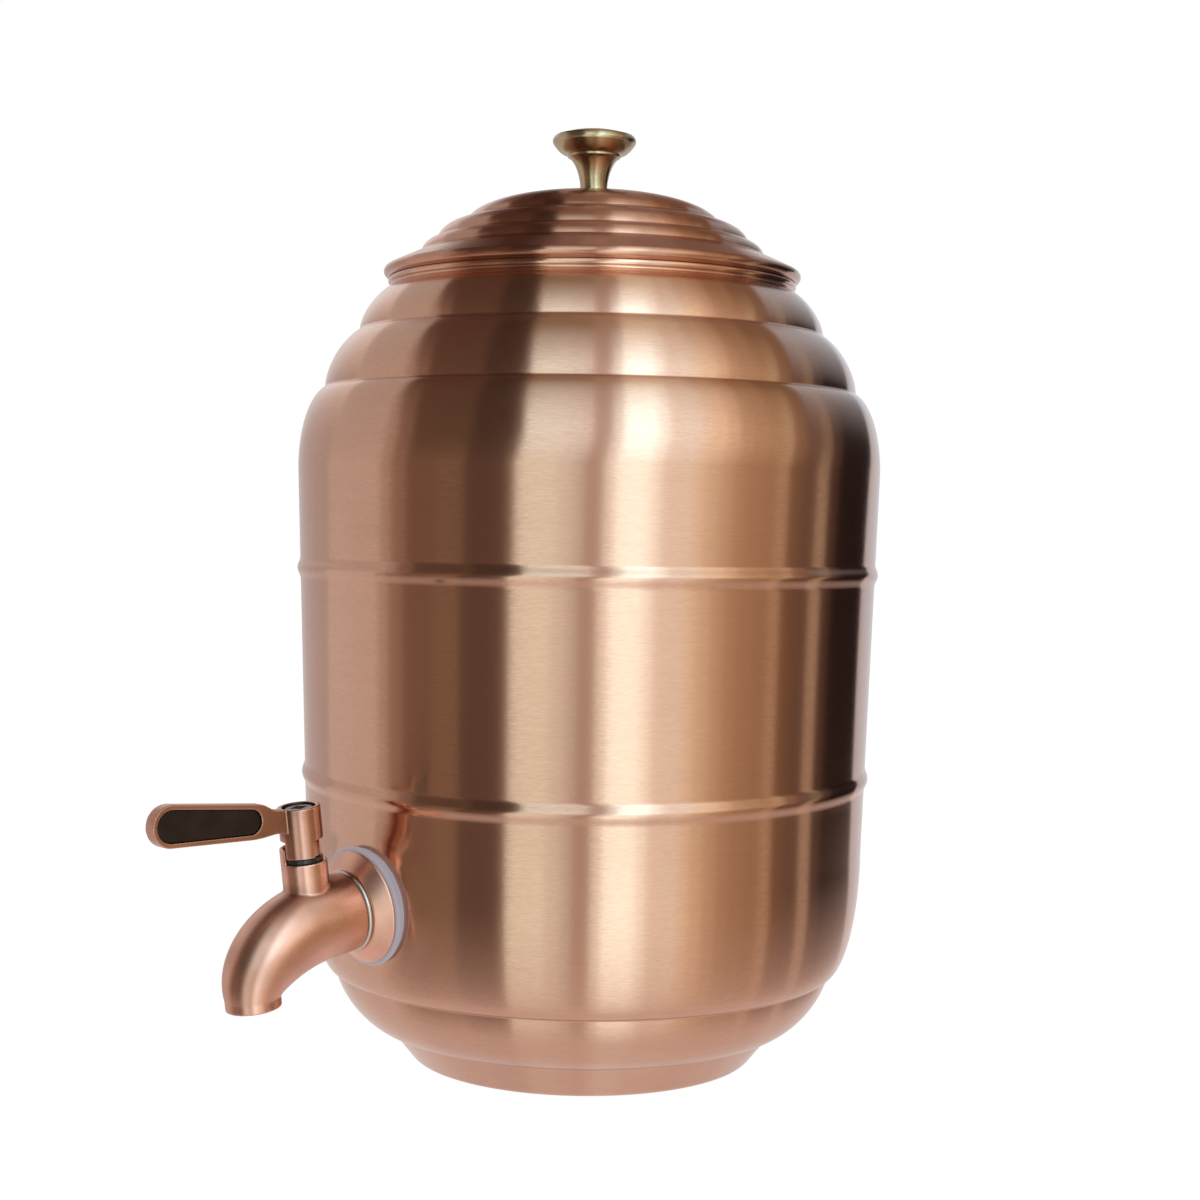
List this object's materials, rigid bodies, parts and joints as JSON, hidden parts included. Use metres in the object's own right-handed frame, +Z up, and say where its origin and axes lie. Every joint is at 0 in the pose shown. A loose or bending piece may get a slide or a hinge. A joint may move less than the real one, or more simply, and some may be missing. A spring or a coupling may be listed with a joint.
{
  "type": "copper water dispenser",
  "caption": "Round-shouldered copper water vessel with pressed beads, a stepped lift-off lid with a knob, and a lever tap low on its side.",
  "frame": {"origin": "middle of the flat foot, on the surface that the vessel stands on", "axes": "+Z up along the vessel's axis, the tap points along -Y, +X to the right of someone facing the back"},
  "size_m": [0.2056, 0.2824, 0.3299],
  "materials": {
    "vessel_copper": "satin spun copper",
    "lid_copper": "satin spun copper",
    "tap_copper": "satin copper plate",
    "knob_brass": "antique brass",
    "valve_brass": "turned brass",
    "bright_steel": "bright",
    "dark_steel": "dark",
    "grey_silicone": "matt silicone",
    "black_rubber": "matt rubber",
    "black_bush": "gloss",
    "black_enamel": "satin"
  },
  "bodies": {
    "vessel": {"body_shell": "vessel_copper", "outer_gasket": "grey_silicone", "tap_rose": "tap_copper", "tap_shank": "bright_steel", "inner_gasket": "grey_silicone", "inner_washer": "bright_steel", "back_nut": "bright_steel", "spout_body": "tap_copper", "stem_bush": "black_bush"},
    "lid": {"lid_shell": "lid_copper", "lid_locating_ring": "lid_copper", "lid_knob": "knob_brass", "knob_screw": "bright_steel", "knob_washer": "bright_steel"},
    "tap_lever": {"lever": "tap_copper", "lever_inlay": "black_enamel", "lever_screw": "dark_steel", "lever_washer": "dark_steel", "valve_core": "valve_brass", "valve_o_rings": "black_rubber"}
  },
  "joints": [
    {"name": "lid_lift", "type": "slide", "parent": "vessel", "child": "lid", "axis": [0, 0, 1], "range_m": [0, 0.12]},
    {"name": "lever_turn", "type": "hinge", "parent": "vessel", "child": "tap_lever", "pos_m": [0, -0.12036, 0.06198], "axis": [0, -0.1305, 0.9914], "range_deg": [0, 90]}
  ]
}
